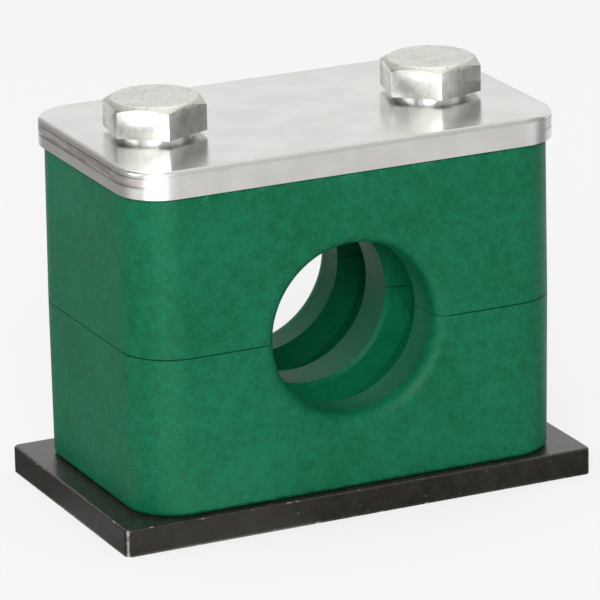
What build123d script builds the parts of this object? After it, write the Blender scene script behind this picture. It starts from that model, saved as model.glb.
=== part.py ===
"""Standard-series tube clamp for one 19 mm tube, closed, with weld plate, cover plate and bolts.

Two identical plastic halves lie between a weld plate and a cover plate. Two M6 hexagon bolts
pass through the cover and both halves and screw into nuts that are welded into the weld plate.

Frame, in millimetres: X runs along the line of the bolts, Y along the tube and Z up. The origin
is the centre of the weld plate's underside.
"""

import os
from math import radians, tan

from build123d import *

# Tube and bore
tube_diameter = 19.0
land_half_width = 2.4        # the middle land reaches this far each side of the centre
land_chamfer_width = 0.4     # bevel on each edge of the middle land, along the tube
land_chamfer_height = 0.4
groove_depth = 3.0           # the grooves lie this much outside the lands
groove_wall_run = 0.4        # how far a groove's wall leans, along the tube
mouth_land_width = 3.6       # plain land just inside each mouth
mouth_radius = 1.8           # rounded bell mouth at each end of the bore

# Moulded halves
half_height = 17.7
body_width = 30.0            # along the tube, at the parting plane
body_end_margin = 8.7        # from a bolt's axis to the end face
body_corner_radius = 5.7
body_draft = 0.4             # degrees, both halves narrow away from the parting plane
body_edge_radius = 0.6
parting_edge_chamfer = 0.1   # bevel round each half's parting face, which makes the seam show
groove_web = 0.7             # plastic left between a groove and a bolt hole
recess_clearance = 0.5       # round and above a nut's collar, in the recess that covers it

# Bolts, M6 x 40, fully threaded
thread_diameter = 6.0
bolt_end_height = 1.4        # above the weld plate's underside, with the clamp closed
head_across_flats = 10.0
head_height = 4.0
washer_face_inset = 0.5      # radial, inside the flats
washer_face_height = 0.3
crown_inset = 0.35           # radial, from the flats to the flat circle on top of the head
crown_angle = 30.0           # degrees, slope of the bevel outside that circle
bolt_end_chamfer = 0.7
bolt_hole_clearance = 0.3    # radial, in the halves and in the cover plate
thread_clearance = 0.05      # radial, between a bolt and its nut
head_turns = {"left": 21.3, "right": 15.9}   # where each head's first corner points, degrees

# Cover plate
cover_thickness = 3.0
cover_end_overhang = 0.3     # past the halves at each end
cover_corner_radius = 5.0
cover_edge_radius = 0.5      # rolled upper edge left by the blanking punch

# Weld plate and its nuts
plate_thickness = 3.0
plate_end_overhang = 2.75    # past the halves at each end
plate_side_overhang = 0.75   # past the halves at each mouth of the bore
plate_corner_radius = 0.8
plate_edge_radius = 0.3
nut_spigot_diameter = 10.0   # sits in the plate
nut_shoulder_width = 1.0     # the collar reaches this far past the spigot
nut_collar_height = 3.5      # stands above the plate, inside the lower half's recess
nut_collar_chamfer = 0.5
nut_seat_clearance = 0.02    # radial, between the spigot and its hole
nut_countersink_width = 0.5

# Worked out from the above
land_radius = tube_diameter / 2
bolt_hole_radius = thread_diameter / 2 + bolt_hole_clearance
bolt_spacing = tube_diameter + 2 * (groove_depth + groove_web + bolt_hole_radius)
body_length = bolt_spacing + 2 * body_end_margin
nut_collar_radius = nut_spigot_diameter / 2 + nut_shoulder_width
recess_radius = nut_collar_radius + recess_clearance
recess_depth = nut_collar_height + recess_clearance
parting_height = plate_thickness + half_height
cover_base = parting_height + half_height
cover_top = cover_base + cover_thickness
head_top = cover_top + head_height
bolt_length = cover_top - bolt_end_height
washer_face_radius = head_across_flats / 2 - washer_face_inset
crown_radius = head_across_flats / 2 - crown_inset
bolt_places = {"left": -bolt_spacing / 2, "right": bolt_spacing / 2}
tube_axis = Axis((0, 0, parting_height), (0, 1, 0))

os.makedirs("parts", exist_ok=True)

# ---- Weld plate: a length of flat bar with a plain hole for each nut's spigot
with BuildPart() as weld_plate:
    with BuildSketch():
        RectangleRounded(
            body_length + 2 * plate_end_overhang,
            body_width + 2 * plate_side_overhang,
            plate_corner_radius,
        )
    extrude(amount=plate_thickness)
    fillet(weld_plate.faces().sort_by(Axis.Z)[-1].edges(), radius=plate_edge_radius)
    with Locations((0, 0, plate_thickness)):
        with GridLocations(bolt_spacing, 0, 2, 1):
            Hole(radius=nut_spigot_diameter / 2 + nut_seat_clearance)

weld_plate.part.label = "weld_plate"
export_step(weld_plate.part, "parts/weld_plate.step")

# ---- Weld nuts: turned collars whose spigots fill the plate's holes, flush with its underside
for side, bolt_x in bolt_places.items():
    with BuildPart() as weld_nut:
        with BuildSketch():
            with Locations((bolt_x, 0)):
                Circle(nut_spigot_diameter / 2)
        extrude(amount=plate_thickness)
        with BuildSketch(Plane.XY.offset(plate_thickness)):
            with Locations((bolt_x, 0)):
                Circle(nut_collar_radius)
        extrude(amount=nut_collar_height)
        nut_top = weld_nut.faces().sort_by(Axis.Z)[-1]
        chamfer(nut_top.edges(), length=nut_collar_chamfer)
        with Locations((bolt_x, 0, plate_thickness + nut_collar_height)):
            CounterSinkHole(
                radius=thread_diameter / 2 + thread_clearance,
                counter_sink_radius=thread_diameter / 2 + thread_clearance + nut_countersink_width,
                counter_sink_angle=90,
            )
    weld_nut.part.label = f"weld_nut_{side}"
    export_step(weld_nut.part, f"parts/weld_nut_{side}.step")

# ---- Upper half: a drafted block with rounded corners, its bore turned about the tube's axis
with BuildPart() as upper_half:
    with BuildSketch(Plane.XY.offset(parting_height)):
        RectangleRounded(body_length, body_width, body_corner_radius)
    extrude(amount=half_height, taper=body_draft)
    fillet(upper_half.faces().sort_by(Axis.Z)[-1].edges(), radius=body_edge_radius)
    chamfer(upper_half.faces().sort_by(Axis.Z)[0].edges(), length=parting_edge_chamfer)

    # The bore's outline, from the middle of the clamp out to one mouth and mirrored to the other.
    # Local x runs along the tube and local y is the distance from its axis.
    bore_plane = Plane(origin=(0, 0, parting_height), x_dir=(0, 1, 0), z_dir=(1, 0, 0))
    mouth_start = body_width / 2 - mouth_radius
    groove_radius = land_radius + groove_depth
    groove_near = land_half_width + land_chamfer_width
    groove_far = mouth_start - mouth_land_width
    with BuildSketch(bore_plane):
        with BuildLine():
            Polyline(
                (0, land_radius),
                (land_half_width, land_radius),
                (groove_near, land_radius + land_chamfer_height),
                (groove_near + groove_wall_run, groove_radius),
                (groove_far - groove_wall_run, groove_radius),
                (groove_far, land_radius),
                (mouth_start, land_radius),
            )
            TangentArc(
                (mouth_start, land_radius),
                (body_width / 2, land_radius + mouth_radius),
                tangent=(1, 0),
            )
            Polyline(
                (body_width / 2, land_radius + mouth_radius),
                (body_width / 2 + mouth_radius, land_radius + mouth_radius),
                (body_width / 2 + mouth_radius, 0),
                (0, 0),
            )
            mirror(about=Plane.YZ)
        make_face()
    revolve(axis=tube_axis, mode=Mode.SUBTRACT)

    with Locations((0, 0, cover_base)):
        with GridLocations(bolt_spacing, 0, 2, 1):
            CounterBoreHole(
                radius=bolt_hole_radius,
                counter_bore_radius=recess_radius,
                counter_bore_depth=recess_depth,
            )

upper_half.part.label = "upper_half"
export_step(upper_half.part, "parts/upper_half.step")

# ---- Lower half: the same moulding turned over
with BuildPart() as lower_half:
    mirror(upper_half.part, about=Plane.XY.offset(parting_height))

lower_half.part.label = "lower_half"
export_step(lower_half.part, "parts/lower_half.step")

# ---- Cover plate: blanked from strip, so its upper edge is rolled and its lower edge sharp
with BuildPart() as cover_plate:
    with BuildSketch(Plane.XY.offset(cover_base)):
        RectangleRounded(body_length + 2 * cover_end_overhang, body_width, cover_corner_radius)
    extrude(amount=cover_thickness)
    fillet(cover_plate.faces().sort_by(Axis.Z)[-1].edges(), radius=cover_edge_radius)
    with Locations((0, 0, cover_top)):
        with GridLocations(bolt_spacing, 0, 2, 1):
            Hole(radius=bolt_hole_radius)

cover_plate.part.label = "cover_plate"
export_step(cover_plate.part, "parts/cover_plate.step")

# ---- Bolts: hexagon head on a round washer face, crown bevelled, plain shank for the thread
for side, bolt_x in bolt_places.items():
    bolt_axis = Axis((bolt_x, 0, 0), (0, 0, 1))
    with BuildPart() as bolt:
        with BuildSketch(Plane.XY.offset(cover_top)):
            with Locations((bolt_x, 0)):
                Circle(washer_face_radius)
        extrude(amount=washer_face_height)
        with BuildSketch(Plane.XY.offset(cover_top + washer_face_height)):
            with Locations((bolt_x, 0)):
                RegularPolygon(
                    radius=head_across_flats / 2,
                    side_count=6,
                    major_radius=False,
                    rotation=head_turns[side],
                )
        extrude(amount=head_height - washer_face_height)

        # The crown's bevel is a ring with a three-sided section, cut away round the top
        ring_reach = head_across_flats
        with BuildSketch(Plane.XZ):
            with BuildLine():
                Polyline(
                    (bolt_x + crown_radius, head_top),
                    (bolt_x + ring_reach, head_top),
                    (
                        bolt_x + ring_reach,
                        head_top - (ring_reach - crown_radius) * tan(radians(crown_angle)),
                    ),
                    close=True,
                )
            make_face()
        revolve(axis=bolt_axis, mode=Mode.SUBTRACT)

        with BuildSketch(Plane.XY.offset(cover_top)):
            with Locations((bolt_x, 0)):
                Circle(thread_diameter / 2)
        extrude(amount=-bolt_length)
        shank_end = bolt.faces().sort_by(Axis.Z)[0]
        chamfer(shank_end.edges(), length=bolt_end_chamfer)
    bolt.part.label = f"bolt_{side}"
    export_step(bolt.part, f"parts/bolt_{side}.step")
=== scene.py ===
"""Looks of a two-bolt tube clamp: weld plate, two moulded halves, cover plate and two bolts.

The sections follow the clamp as it is put together, from the plate that is welded down to the
bolts that close it, and then the studio and the camera. Metres throughout.
"""

from math import cos, pi, radians, sin, sqrt, tan

import bpy
from mathutils import Matrix, Vector


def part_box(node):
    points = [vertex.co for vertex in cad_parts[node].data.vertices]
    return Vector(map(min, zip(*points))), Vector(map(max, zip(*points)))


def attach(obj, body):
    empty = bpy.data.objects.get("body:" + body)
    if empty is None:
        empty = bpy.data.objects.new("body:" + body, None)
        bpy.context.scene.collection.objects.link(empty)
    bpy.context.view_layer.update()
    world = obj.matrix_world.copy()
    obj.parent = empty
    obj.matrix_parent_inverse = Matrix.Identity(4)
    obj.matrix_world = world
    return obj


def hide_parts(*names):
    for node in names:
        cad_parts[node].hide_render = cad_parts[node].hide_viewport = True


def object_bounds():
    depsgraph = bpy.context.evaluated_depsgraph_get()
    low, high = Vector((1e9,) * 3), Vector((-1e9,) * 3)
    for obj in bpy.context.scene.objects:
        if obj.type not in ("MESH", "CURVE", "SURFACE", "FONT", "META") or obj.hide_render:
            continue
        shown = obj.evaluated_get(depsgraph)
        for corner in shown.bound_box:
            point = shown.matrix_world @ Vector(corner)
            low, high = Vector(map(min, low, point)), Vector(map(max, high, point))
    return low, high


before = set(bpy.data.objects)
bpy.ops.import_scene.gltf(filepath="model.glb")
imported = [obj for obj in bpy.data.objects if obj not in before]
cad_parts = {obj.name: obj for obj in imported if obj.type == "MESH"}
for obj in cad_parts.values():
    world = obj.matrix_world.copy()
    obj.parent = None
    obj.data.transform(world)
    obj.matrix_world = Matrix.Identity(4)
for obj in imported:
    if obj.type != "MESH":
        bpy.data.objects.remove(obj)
cad_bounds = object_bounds()
MM = 0.001


# ---------------------------------------------------------------------------------------------
# Weld plate: a length of 31.5 mm flat bar in phosphated steel, nearly black and oily on top. The
# coating is rubbed through to grey metal along its edges and corners, where it has been handled.

PHOSPHATE_DARK = (0.0130, 0.0118, 0.0090, 1)
PHOSPHATE_PALE = (0.0270, 0.0235, 0.0180, 1)
RUBBED_STEEL = (0.42, 0.40, 0.37, 1)
CHIP_RAGGEDNESS = 0.9 * MM       # how far the chips' border wanders
CORNER_RAGGEDNESS = 0.5 * MM     # the same on the four upright edges


class Shade:
    """One output of a material's nodes. Arithmetic on it adds Math nodes."""

    def __init__(self, tree, socket=None):
        self.tree = tree
        self.socket = socket

    def node(self, kind, settings, values, output=0):
        """A new node of any kind: its settings first, then its sockets' values or links."""
        made = self.tree.nodes.new(kind)
        for name, value in settings.items():
            setattr(made, name, value)
        for name, value in values.items():
            if isinstance(value, Shade):
                self.tree.links.new(value.socket, made.inputs[name])
            else:
                made.inputs[name].default_value = value
        return Shade(self.tree, made.outputs[output])

    def maths(self, operation, *values):
        return self.node("ShaderNodeMath", {"operation": operation}, dict(enumerate(values)))

    def __add__(self, other):
        return self.maths("ADD", self, other)

    def __sub__(self, other):
        return self.maths("SUBTRACT", self, other)

    def __rsub__(self, other):
        return self.maths("SUBTRACT", other, self)

    def __mul__(self, other):
        return self.maths("MULTIPLY", self, other)

    __radd__ = __add__
    __rmul__ = __mul__

    def size(self):
        return self.maths("ABSOLUTE", self)

    def most(self, other):
        return self.maths("MAXIMUM", self, other)

    def least(self, other):
        return self.maths("MINIMUM", self, other)

    def root(self):
        return self.maths("SQRT", self)

    def rise(self, low, high):
        """0 below low, 1 above high and a smooth step between them."""
        return self.node(
            "ShaderNodeMapRange",
            {"interpolation_type": "SMOOTHSTEP"},
            {"Value": self, "From Min": low, "From Max": high},
        )

    def blend(self, first, second):
        """The colour first where this is 0 and second where it is 1."""
        return self.node(
            "ShaderNodeMix",
            {"data_type": "RGBA"},
            {"Factor": self, 6: first, 7: second},
            output=2,
        )

    def noise(self, point, across, detail=2.0, stretch=(1, 1, 1)):
        """Cloudy noise from 0 to 1 whose blots are about as wide as across says."""
        scale = [share / across for share in stretch]
        spread = self.node("ShaderNodeMapping", {}, {"Vector": point, "Scale": scale})
        values = {"Vector": spread, "Scale": 1.0, "Detail": detail}
        return self.node("ShaderNodeTexNoise", {}, values)

    def bump(self, height, depth):
        return self.node("ShaderNodeBump", {}, {"Height": height, "Distance": depth})

    def parts(self):
        """The x, y and z of a vector."""
        return [self.node("ShaderNodeSeparateXYZ", {}, {0: self}, output=i) for i in range(3)]

    def place(self):
        """The point on the piece, in its own coordinates, and its x, y and z."""
        point = self.node("ShaderNodeTexCoord", {}, {}, output="Object")
        return [point, *point.parts()]


def finish_material(name, **constants):
    """A new material, its start for shader maths and its shader, with these sockets' values."""
    material = bpy.data.materials.new(name)
    material.use_nodes = True
    shader = material.node_tree.nodes["Principled BSDF"]
    for socket, value in constants.items():
        shader.inputs[socket.replace("_", " ")].default_value = value
    return material, Shade(material.node_tree), shader


def feed(start, shader, **links):
    """Links results into the shader's sockets, whose names are given with underscores."""
    for socket, value in links.items():
        start.tree.links.new(value.socket, shader.inputs[socket.replace("_", " ")])


def coat(piece, material):
    """Gives the piece this material and no other."""
    piece.data.materials.clear()
    piece.data.materials.append(material)


def box_gaps(parts, low, high):
    """How far inside a box's faces a point lies along each axis, in shader maths."""
    centre = (low + high) / 2
    half = (high - low) / 2
    return [half[i] - (part - centre[i]).size() for i, part in enumerate(parts)]


def edge_distance(gap_x, gap_y, gap_z):
    """The distance to the nearest edge of the box: on a face the least of the gaps is zero."""
    return gap_x.least(gap_y).most(gap_x.most(gap_y).least(gap_z))


def phosphated_steel():
    material, start, shader = finish_material(
        "phosphated_steel", Specular_IOR_Level=0.12, Coat_Roughness=0.26
    )
    point, *parts = start.place()
    low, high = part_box("weld_plate")
    gap_x, gap_y, gap_z = box_gaps(parts, low, high)
    cloud = start.noise(point, across=1.6 * MM, detail=4.0)
    grain = start.noise(point, across=0.16 * MM)
    patches = start.noise(point, across=0.9 * MM, detail=3.0)

    # Chips here and there along every edge, wear all along the upright ones, and small specks
    handled = start.noise(point, across=2.2 * MM).rise(0.5, 0.62)
    from_edge = edge_distance(gap_x, gap_y, gap_z) + patches * CHIP_RAGGEDNESS
    chipped = (1 - from_edge.rise(0.34 * MM, 0.54 * MM)) * handled
    from_upright = gap_x.most(gap_y) + patches * CORNER_RAGGEDNESS
    worn = 1 - from_upright.rise(0.42 * MM, 0.66 * MM)
    speck = start.noise(point, across=0.35 * MM, detail=1.0).rise(0.70, 0.76) * 0.3
    bare = chipped.most(worn).most(speck)

    coating = (cloud * 0.7 + grain * 0.3).rise(0.3, 0.7).blend(PHOSPHATE_DARK, PHOSPHATE_PALE)
    oily_top = 1 - gap_z.rise(0.05 * MM, 0.3 * MM)
    feed(
        start,
        shader,
        Base_Color=bare.blend(coating, RUBBED_STEEL),
        Metallic=bare * 0.7,
        Roughness=0.36 + cloud * 0.22,
        Coat_Weight=oily_top * (0.55 + cloud * 0.5),
        Normal=start.bump(grain + cloud * 1.5, depth=0.02 * MM),
    )
    return material


coat(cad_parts["weld_plate"], phosphated_steel())


# ---------------------------------------------------------------------------------------------
# Weld nuts: turned from bright bar and pressed into the plate. Their underside shows beneath it,
# with the fine rings that the facing tool left.

NUT_STEEL = (0.30, 0.29, 0.275, 1)
NUT_STEEL_DULL = (0.14, 0.13, 0.12, 1)
FACING_PITCH = 0.18 * MM


def distance(across, along):
    """The distance from an axis, from the two distances square to it, in shader maths."""
    return (across * across + along * along).root()


def turned_steel(node):
    material, start, shader = finish_material("turned_steel_" + node, Metallic=1.0)
    point, x, y, _ = start.place()
    low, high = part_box(node)
    centre = (low + high) / 2
    rings = start.maths("SINE", distance(x - centre.x, y - centre.y) * (2 * pi / FACING_PITCH))
    stain = start.noise(point, across=1.8 * MM, detail=4.0)
    feed(
        start,
        shader,
        Base_Color=stain.rise(0.35, 0.7).blend(NUT_STEEL, NUT_STEEL_DULL),
        Roughness=0.3 + stain * 0.25,
        Normal=start.bump(rings, depth=0.004 * MM),
    )
    return material


for node in ("weld_nut_left", "weld_nut_right"):
    coat(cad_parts[node], turned_steel(node))


# ---------------------------------------------------------------------------------------------
# Lower and upper half: one moulding used twice, in green polypropylene. The mould's eroded
# surface leaves a fine matt grain, handling has scuffed the edges, and the line where the two
# halves meet is dark with painted shade.

GREEN_DEEP = (0.0012, 0.108, 0.0420, 1)
GREEN_PALE = (0.0042, 0.166, 0.0780, 1)
GREEN_SCUFF = (0.045, 0.250, 0.150, 1)
GREEN_BORE = (0.0008, 0.265, 0.120, 1)
# painted shade for the line where the two halves meet
SEAM_PAINTED_SHADE = (0.0, 0.016, 0.008, 1)
GROOVE_RADIUS = 12.5 * MM        # the bore's widest, between its lands


def green_polypropylene():
    material, start, shader = finish_material("green_polypropylene", Specular_IOR_Level=0.16)
    point, x, y, z = start.place()
    low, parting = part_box("lower_half")
    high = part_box("upper_half")[1]
    gap_x, gap_y, gap_z = box_gaps((x, y, z), low, high)
    grain = start.noise(point, across=0.26 * MM)
    blots = start.noise(point, across=1.1 * MM, detail=3.0)
    drift = start.noise(point, across=9 * MM)
    tone = grain * 0.42 + blots * 0.33 + drift * 0.25
    green = tone.rise(0.36, 0.64).blend(GREEN_DEEP, GREEN_PALE)

    # Light that has passed into the plastic comes out again inside the bore and makes it paler
    within = 1 - distance(x, z - parting.z).rise(GROOVE_RADIUS, GROOVE_RADIUS + 0.2 * MM)
    bore = within * gap_y.rise(2.2 * MM, 5.0 * MM)

    rubbed = start.noise(point, across=0.7 * MM, detail=3.0).rise(0.5, 0.7)
    scuff = (1 - edge_distance(gap_x, gap_y, gap_z).rise(0.1 * MM, 0.9 * MM)) * rubbed

    # Painted shade along the line where the halves meet. This goes by height alone, so besides
    # that line it darkens the whole of both parting faces, which show when the clamp is lifted
    # open
    painted_seam_shade = 1 - (z - parting.z).size().rise(0.03 * MM, 0.09 * MM)
    colour = (scuff * 0.5).blend((bore * 0.25).blend(green, GREEN_BORE), GREEN_SCUFF)
    feed(
        start,
        shader,
        Base_Color=(painted_seam_shade * 0.8).blend(colour, SEAM_PAINTED_SHADE),
        Roughness=0.36 + blots * 0.18,
        Normal=start.bump(grain + blots * 0.8, depth=0.022 * MM),
    )
    return material


polypropylene = green_polypropylene()
for node in ("lower_half", "upper_half"):
    coat(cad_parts[node], polypropylene)


# ---------------------------------------------------------------------------------------------
# Cover plate: blanked from 3 mm steel strip and zinc plated. The punch rolled its upper edge
# over, and its ends show the bands where the die first sheared and then tore the metal.

ZINC = (0.78, 0.762, 0.74, 1)
ZINC_GREY = (0.71, 0.695, 0.675, 1)
ZINC_ROLLED = (0.50, 0.49, 0.47, 1)
ZINC_TORN = (0.46, 0.385, 0.35, 1)
ZINC_LINE = (0.22, 0.19, 0.17, 1)
UPPER_LINE_DEPTH = 0.80 * MM     # below the top face, where the shearing begins
MIDDLE_LINE_DEPTH = 1.85 * MM    # where the shearing ends
LINE_WANDER = 0.25 * MM


def zinc_sheet():
    material, start, shader = finish_material("zinc_sheet", Metallic=1.0)
    point, x, y, z = start.place()
    low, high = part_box("cover_plate")
    gap_x, gap_y = box_gaps((x, y), low, high)
    cloud = start.noise(point, across=5 * MM, detail=3.0)
    grain = start.noise(point, across=0.22 * MM)
    streak = start.noise(point, across=0.34 * MM, detail=4.0, stretch=(0.10, 0.10, 1))
    depth = high.z - z
    near_side = 1 - gap_x.least(gap_y).rise(0.36 * MM, 0.62 * MM)
    rolled = near_side * (1 - depth.rise(0.36 * MM, 0.56 * MM))
    plain = (rolled * 0.9).blend(cloud.rise(0.35, 0.65).blend(ZINC_GREY, ZINC), ZINC_ROLLED)

    # Below the rolled edge, and only near the two ends: torn metal between two dark lines
    side = depth.rise(0.45 * MM, 0.62 * MM)
    end = side * (1 - gap_x.rise(0.3 * MM, 3.2 * MM))
    torn = end * (1 - depth.rise(1.7 * MM, 2.1 * MM)) * streak.rise(0.36, 0.60)
    wavy = depth + streak * LINE_WANDER
    upper_line = 1 - (wavy - UPPER_LINE_DEPTH).size().rise(0.04 * MM, 0.13 * MM)
    middle_line = 1 - (wavy - MIDDLE_LINE_DEPTH).size().rise(0.05 * MM, 0.15 * MM)
    lines = end * upper_line.most(middle_line * 0.8)
    feed(
        start,
        shader,
        Base_Color=(lines * 0.8).blend((torn * 0.8).blend(plain, ZINC_TORN), ZINC_LINE),
        Roughness=0.17 + cloud * 0.06 + side * 0.08 + torn * 0.15 + rolled * 0.30,
        Normal=start.bump(grain * 0.3 + side * streak * 1.2 + torn * 3.0, depth=0.006 * MM),
    )
    return material


coat(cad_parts["cover_plate"], zinc_sheet())


# ---------------------------------------------------------------------------------------------
# Bolts: cold-forged M6 x 40 hexagon bolts, threaded to the head and zinc plated. The head stands
# on a thin round washer face and its crown is bevelled, which leaves an arc on each flat.

ACROSS_FLATS = 10 * MM
HEAD_HEIGHT = 4.0 * MM
HEAD_EDGE_ROUND = 0.06 * MM
SHARP_EDGE = radians(20)         # edges that turn by more than this are rounded
HEAD_TURNS = {"bolt_left": radians(21.3), "bolt_right": radians(15.9)}
CROWN_RADIUS = 4.65 * MM         # of the flat circle on top of the head
CROWN_BEVEL = radians(30)
WASHER_FACE_RADIUS = 4.5 * MM
WASHER_FACE_HEIGHT = 0.5 * MM
ROUND_SIDES = 96

PITCH = 1.0 * MM
CREST_RADIUS = 2.97 * MM
ROOT_RADIUS = 2.42 * MM
CREST_ROUND = PITCH / 12
STEPS_A_TURN = 32
POINT_LENGTH = 0.8 * MM
POINT_END_RADIUS = ROOT_RADIUS * 0.78
POINT_BASE_RADIUS = ROOT_RADIUS * 1.08
POINT_SIDES = 48
MERGE = 0.0005 * MM
OVERLAP = 0.1 * MM               # how far a bolt's joined shapes run into one another
SMOOTH_BELOW = radians(25)       # faces that meet at less than this are shaded as one

BOLT_ZINC = (0.72, 0.73, 0.70, 1)
BOLT_GREY = (0.58, 0.585, 0.55, 1)
BOLT_CROWN = (0.70, 0.72, 0.65, 1)
BOLT_SPECK = (0.24, 0.24, 0.21, 1)
BOLT_BEVEL = (0.38, 0.35, 0.29, 1)
CROWN_DEPTH = 0.66 * MM          # the crown's rough skin ends this far below the top


def select_nothing():
    bpy.ops.object.select_all(action="DESELECT")


def select_only(piece):
    select_nothing()
    piece.select_set(True)
    bpy.context.view_layer.objects.active = piece


def apply_modifiers(piece):
    select_only(piece)
    for modifier in list(piece.modifiers):
        bpy.ops.object.modifier_apply(modifier=modifier.name)


def settle(piece):
    """Puts the piece's place into its mesh, and leaves the object at the origin."""
    select_only(piece)
    bpy.ops.object.transform_apply(location=True, rotation=True, scale=True)
    return piece


def hexagon_head(axis_x, seat, turn):
    """A hexagon whose crown is trimmed by a cone, on its washer face."""
    height = HEAD_HEIGHT - WASHER_FACE_HEIGHT
    select_nothing()
    bpy.ops.mesh.primitive_cone_add(
        vertices=ROUND_SIDES,
        radius1=CROWN_RADIUS + HEAD_HEIGHT / tan(CROWN_BEVEL),
        radius2=CROWN_RADIUS,
        depth=HEAD_HEIGHT,
        location=(axis_x, 0, seat + HEAD_HEIGHT / 2),
    )
    trimmer = settle(bpy.context.object)
    select_nothing()
    bpy.ops.mesh.primitive_cylinder_add(
        vertices=6,
        radius=ACROSS_FLATS / sqrt(3),
        depth=height,
        location=(axis_x, 0, seat + WASHER_FACE_HEIGHT + height / 2),
    )
    head = bpy.context.object
    head.rotation_euler.z = turn + radians(90)
    settle(head)
    trim = head.modifiers.new("crown", "BOOLEAN")
    trim.operation = "INTERSECT"
    trim.solver = "EXACT"
    trim.object = trimmer
    apply_modifiers(head)
    bpy.data.objects.remove(trimmer)
    edge = head.modifiers.new("edges", "BEVEL")
    edge.width = HEAD_EDGE_ROUND
    edge.segments = 2
    edge.limit_method = "ANGLE"
    edge.angle_limit = SHARP_EDGE
    apply_modifiers(head)
    select_nothing()
    bpy.ops.mesh.primitive_cylinder_add(
        vertices=ROUND_SIDES,
        radius=WASHER_FACE_RADIUS,
        depth=WASHER_FACE_HEIGHT + OVERLAP,
        location=(axis_x, 0, seat + (WASHER_FACE_HEIGHT + OVERLAP) / 2),
    )
    return head, settle(bpy.context.object)


def threaded_shank(axis_x, seat, end):
    """One turn's V section, screwed round the axis and cut square at both ends, with a point."""
    # The section is a short line up the thread: root, crest, root, with the crest's tip taken off
    select_nothing()
    bpy.ops.mesh.primitive_plane_add(size=PITCH, rotation=(pi / 2, 0, 0))
    shank = settle(bpy.context.object)
    bpy.ops.object.mode_set(mode="EDIT")
    bpy.ops.mesh.select_all(action="DESELECT")
    bpy.ops.object.mode_set(mode="OBJECT")
    for vertex in shank.data.vertices:
        vertex.select = vertex.co.x < 0
    bpy.ops.object.mode_set(mode="EDIT")
    bpy.ops.mesh.delete(type="VERT")
    bpy.ops.mesh.select_all(action="SELECT")
    bpy.ops.mesh.subdivide(number_cuts=1)
    bpy.ops.object.mode_set(mode="OBJECT")
    for vertex in shank.data.vertices:
        vertex.select = abs(vertex.co.z) < PITCH / 4
        vertex.co.x = CREST_RADIUS if vertex.select else ROOT_RADIUS
    bpy.ops.object.mode_set(mode="EDIT")
    bpy.ops.mesh.bevel(offset=CREST_ROUND, affect="VERTICES")
    bpy.ops.object.mode_set(mode="OBJECT")
    screw = shank.modifiers.new("thread", "SCREW")
    screw.axis = "Z"
    screw.angle = 2 * pi
    screw.screw_offset = PITCH
    screw.iterations = round((seat - end) / PITCH) + 2
    screw.steps = STEPS_A_TURN
    screw.render_steps = STEPS_A_TURN
    screw.use_merge_vertices = False
    screw.use_smooth_shade = False
    apply_modifiers(shank)
    shank.location = (axis_x, 0, end + POINT_LENGTH - PITCH)
    settle(shank)
    bpy.ops.object.mode_set(mode="EDIT")
    bpy.ops.mesh.select_all(action="SELECT")
    bpy.ops.mesh.remove_doubles(threshold=MERGE)
    for height, outward in ((end + POINT_LENGTH, -1), (seat + OVERLAP, 1)):
        bpy.ops.mesh.select_all(action="SELECT")
        bpy.ops.mesh.bisect(
            plane_co=(axis_x, 0, height),
            plane_no=(0, 0, outward),
            use_fill=True,
            clear_outer=True,
        )
    bpy.ops.mesh.select_all(action="SELECT")
    bpy.ops.mesh.normals_make_consistent(inside=False)
    bpy.ops.object.mode_set(mode="OBJECT")
    select_nothing()
    bpy.ops.mesh.primitive_cone_add(
        vertices=POINT_SIDES,
        radius1=POINT_END_RADIUS,
        radius2=POINT_BASE_RADIUS,
        depth=POINT_LENGTH + OVERLAP,
        location=(axis_x, 0, end + (POINT_LENGTH + OVERLAP) / 2),
    )
    return shank, settle(bpy.context.object)


def bolt_zinc(node):
    material, start, shader = finish_material("bolt_zinc_" + node, Metallic=1.0)
    point, x, y, z = start.place()
    low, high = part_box(node)
    centre = (low + high) / 2
    cloud = start.noise(point, across=1.5 * MM, detail=3.0)
    grain = start.noise(point, across=0.20 * MM, detail=3.0)
    lines = start.noise(point, across=0.30 * MM, detail=3.0, stretch=(1, 1, 0.15))
    plain = (cloud * 0.7 + lines * 0.3).rise(0.35, 0.65).blend(BOLT_GREY, BOLT_ZINC)
    forged = (cloud * 0.4 + grain * 0.6).rise(0.36, 0.56).blend(BOLT_GREY, BOLT_CROWN)

    # The crown keeps the forging's rough skin and its specks, and the bevel round it is darker
    crown = (z - (high.z - CROWN_DEPTH)).rise(0.0, 0.25 * MM)
    speck = start.noise(point, across=0.42 * MM).rise(0.63, 0.70) * (0.25 + crown * 0.6)
    past_crown = distance(x - centre.x, y - centre.y) - CROWN_RADIUS
    off_bevel = (high.z - z) - past_crown * tan(CROWN_BEVEL)
    on_bevel = 1 - off_bevel.size().rise(0.03 * MM, 0.09 * MM)
    bevel = on_bevel * past_crown.rise(0.02 * MM, 0.1 * MM)
    skin = speck.blend(crown.blend(plain, forged), BOLT_SPECK)
    feed(
        start,
        shader,
        Base_Color=(bevel * 0.45).blend(skin, BOLT_BEVEL),
        Roughness=0.15 + cloud * 0.10 + crown * 0.16,
        Normal=start.bump(grain * (0.3 + crown * 2.0) + lines * 0.15, depth=0.012 * MM),
    )
    return material


for node, turn in HEAD_TURNS.items():
    low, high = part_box(node)
    axis_x = (low.x + high.x) / 2
    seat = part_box("cover_plate")[1].z
    pieces = [*hexagon_head(axis_x, seat, turn), *threaded_shank(axis_x, seat, low.z)]
    select_only(pieces[0])
    for piece in pieces:
        piece.select_set(True)
    bpy.ops.object.join()
    bolt = bpy.context.object
    bolt.name = node + "_forged"
    bpy.ops.object.shade_smooth_by_angle(angle=SMOOTH_BELOW)
    coat(bolt, bolt_zinc(node))
    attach(bolt, node)
    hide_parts(node)


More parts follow.
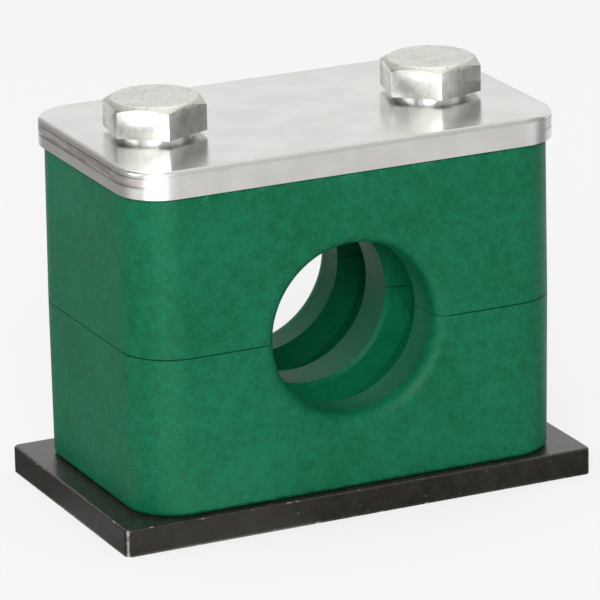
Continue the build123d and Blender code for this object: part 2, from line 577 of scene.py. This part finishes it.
# ---------------------------------------------------------------------------------------------
# Studio: a white sweep under the clamp and an even sky, with a window of light and the key lamp
# behind the camera, a weaker lamp on the left and one overhead. Polished metal sees the window,
# and darker walls to the left and right.

FLOOR_SIZE = 6.0
FLOOR_GAP = 0.05 * MM            # keeps the floor clear of the weld plate's underside
FLOOR_WHITE = (0.86, 0.86, 0.86, 1)
FLOOR_GLOW_SEEN = 0.72           # share of its own light in the floor, as the camera sees it
FLOOR_GLOW_MIRRORED = 0.9        # the same, as metal sees it
GLOW_WHITE = (1, 1, 1, 1)
SKY_STRENGTH = 0.42              # the light that the sky gives to matt surfaces
SKY_LIMIT = 1.35                 # the window is no brighter than this where it is seen as sky
CLAMP_MIDDLE = (Vector(cad_bounds[0]) + Vector(cad_bounds[1])) / 2

SWEEP_LEVEL = 0.92
SWEEP_SHADES = (                 # bearing in degrees, half width in degrees, change of level
    (140, 36, -0.60),            # the wall on the left
    (-17, 17, -0.60),            # the wall on the right
    (-66, 16, -0.17),            # the sweep between that wall and the window
    (-128, 22, 2.4),             # the window of light behind the camera
    (-154, 7, -0.30),            # the window's frame
)
SHADE_CORE = 0.55                # of the half width, inside which a shade is at its full change
SHADE_REACH = 1.25               # of the half width, outside which it has no effect


def sweep_brightness(x, y):
    """What metal sees in each direction round the clamp."""
    bearing = x.maths("ARCTAN2", y, x)
    bright = SWEEP_LEVEL
    for middle, half_width, change in SWEEP_SHADES:
        off = (bearing - radians(middle)).size()
        core, reach = radians(half_width) * SHADE_CORE, radians(half_width) * SHADE_REACH
        bright = bright + (1 - off.rise(core, reach)) * change
    return bright


def ray_kinds(start):
    """1 for what the camera sees directly, and 1 for what it sees mirrored."""
    return [
        start.node("ShaderNodeLightPath", {}, {}, output=output)
        for output in ("Is Camera Ray", "Is Glossy Ray")
    ]


def studio_floor():
    select_nothing()
    bpy.ops.mesh.primitive_plane_add(size=FLOOR_SIZE, location=(0, 0, -FLOOR_GAP))
    floor = bpy.context.object
    floor.name = "studio_floor"
    material, start, shader = finish_material(
        "studio_white", Base_Color=FLOOR_WHITE, Roughness=0.9, Specular_IOR_Level=0.0
    )
    _, x, y, _ = start.place()
    camera_ray, glossy_ray = ray_kinds(start)
    strength = camera_ray + (1 - camera_ray) * sweep_brightness(x, y)
    glow = start.node("ShaderNodeEmission", {}, {"Color": GLOW_WHITE, "Strength": strength})
    share = camera_ray * FLOOR_GLOW_SEEN + glossy_ray * FLOOR_GLOW_MIRRORED
    paint = Shade(start.tree, shader.outputs[0])
    mixed = start.node("ShaderNodeMixShader", {}, {0: share, 1: paint, 2: glow})
    output = start.tree.nodes["Material Output"]
    start.tree.links.new(mixed.socket, output.inputs["Surface"])
    coat(floor, material)


def studio_sky():
    world = bpy.data.worlds.new("studio_sky")
    bpy.context.scene.world = world
    world.use_nodes = True
    start = Shade(world.node_tree)
    x, y, _ = start.node("ShaderNodeTexCoord", {}, {}, output="Generated").parts()
    camera_ray, glossy_ray = ray_kinds(start)
    mirrored = sweep_brightness(x, y).least(SKY_LIMIT)
    unseen = glossy_ray * mirrored + (1 - glossy_ray) * SKY_STRENGTH
    strength = camera_ray + (1 - camera_ray) * unseen
    background = world.node_tree.nodes["Background"]
    background.inputs["Color"].default_value = GLOW_WHITE
    world.node_tree.links.new(strength.socket, background.inputs["Strength"])


def soft_lamp(name, bearing, height, away, side, power):
    """A square lamp that faces the clamp from a bearing round it and a height above level."""
    bearing, height = radians(bearing), radians(height)
    heading = Vector((cos(bearing) * cos(height), sin(bearing) * cos(height), sin(height)))
    lamp = bpy.data.lights.new(name, "AREA")
    lamp.shape = "SQUARE"
    lamp.size = side
    lamp.energy = power
    holder = bpy.data.objects.new(name, lamp)
    holder.location = CLAMP_MIDDLE + heading * away
    holder.rotation_euler = (-heading).to_track_quat("-Z", "Y").to_euler()
    bpy.context.scene.collection.objects.link(holder)


studio_floor()
studio_sky()
soft_lamp("key_lamp", bearing=-118, height=31, away=0.75, side=0.34, power=3.0)
soft_lamp("left_lamp", bearing=178, height=25, away=0.80, side=0.50, power=0.9)
soft_lamp("top_lamp", bearing=60, height=75, away=0.70, side=0.60, power=1.2)


# ---------------------------------------------------------------------------------------------
# Camera: a long lens, a little above the clamp and to the left of its front.

VIEW_BEARING = radians(25.24)    # round from the clamp's front to its left
VIEW_HEIGHT = radians(17.82)     # above level
VIEW_ROLL = radians(-1.06)
VIEW_DISTANCE = 566.2 * MM
AIM = Vector((0, 0, 21.0 * MM))
AIM_SHIFT = Vector((0.25 * MM, -0.99 * MM, 0))     # across and up, as the camera sees it
FOCAL_LENGTH = 310.4             # in millimetres, as is the sensor's width
SENSOR_WIDTH = 36.0
NEAREST_SEEN = 0.01

lens = bpy.data.cameras.new("camera")
lens.lens = FOCAL_LENGTH
lens.sensor_width = SENSOR_WIDTH
lens.clip_start = NEAREST_SEEN
camera = bpy.data.objects.new("camera", lens)
bpy.context.scene.collection.objects.link(camera)
facing = (
    Matrix.Rotation(-VIEW_BEARING, 4, "Z")
    @ Matrix.Rotation(pi / 2 - VIEW_HEIGHT, 4, "X")
    @ Matrix.Rotation(VIEW_ROLL, 4, "Z")
)
drawn_back = facing @ Matrix.Translation(AIM_SHIFT + Vector((0, 0, VIEW_DISTANCE)))
camera.matrix_world = Matrix.Translation(AIM) @ drawn_back
bpy.context.scene.camera = camera
bpy.context.scene.view_settings.view_transform = "Standard"
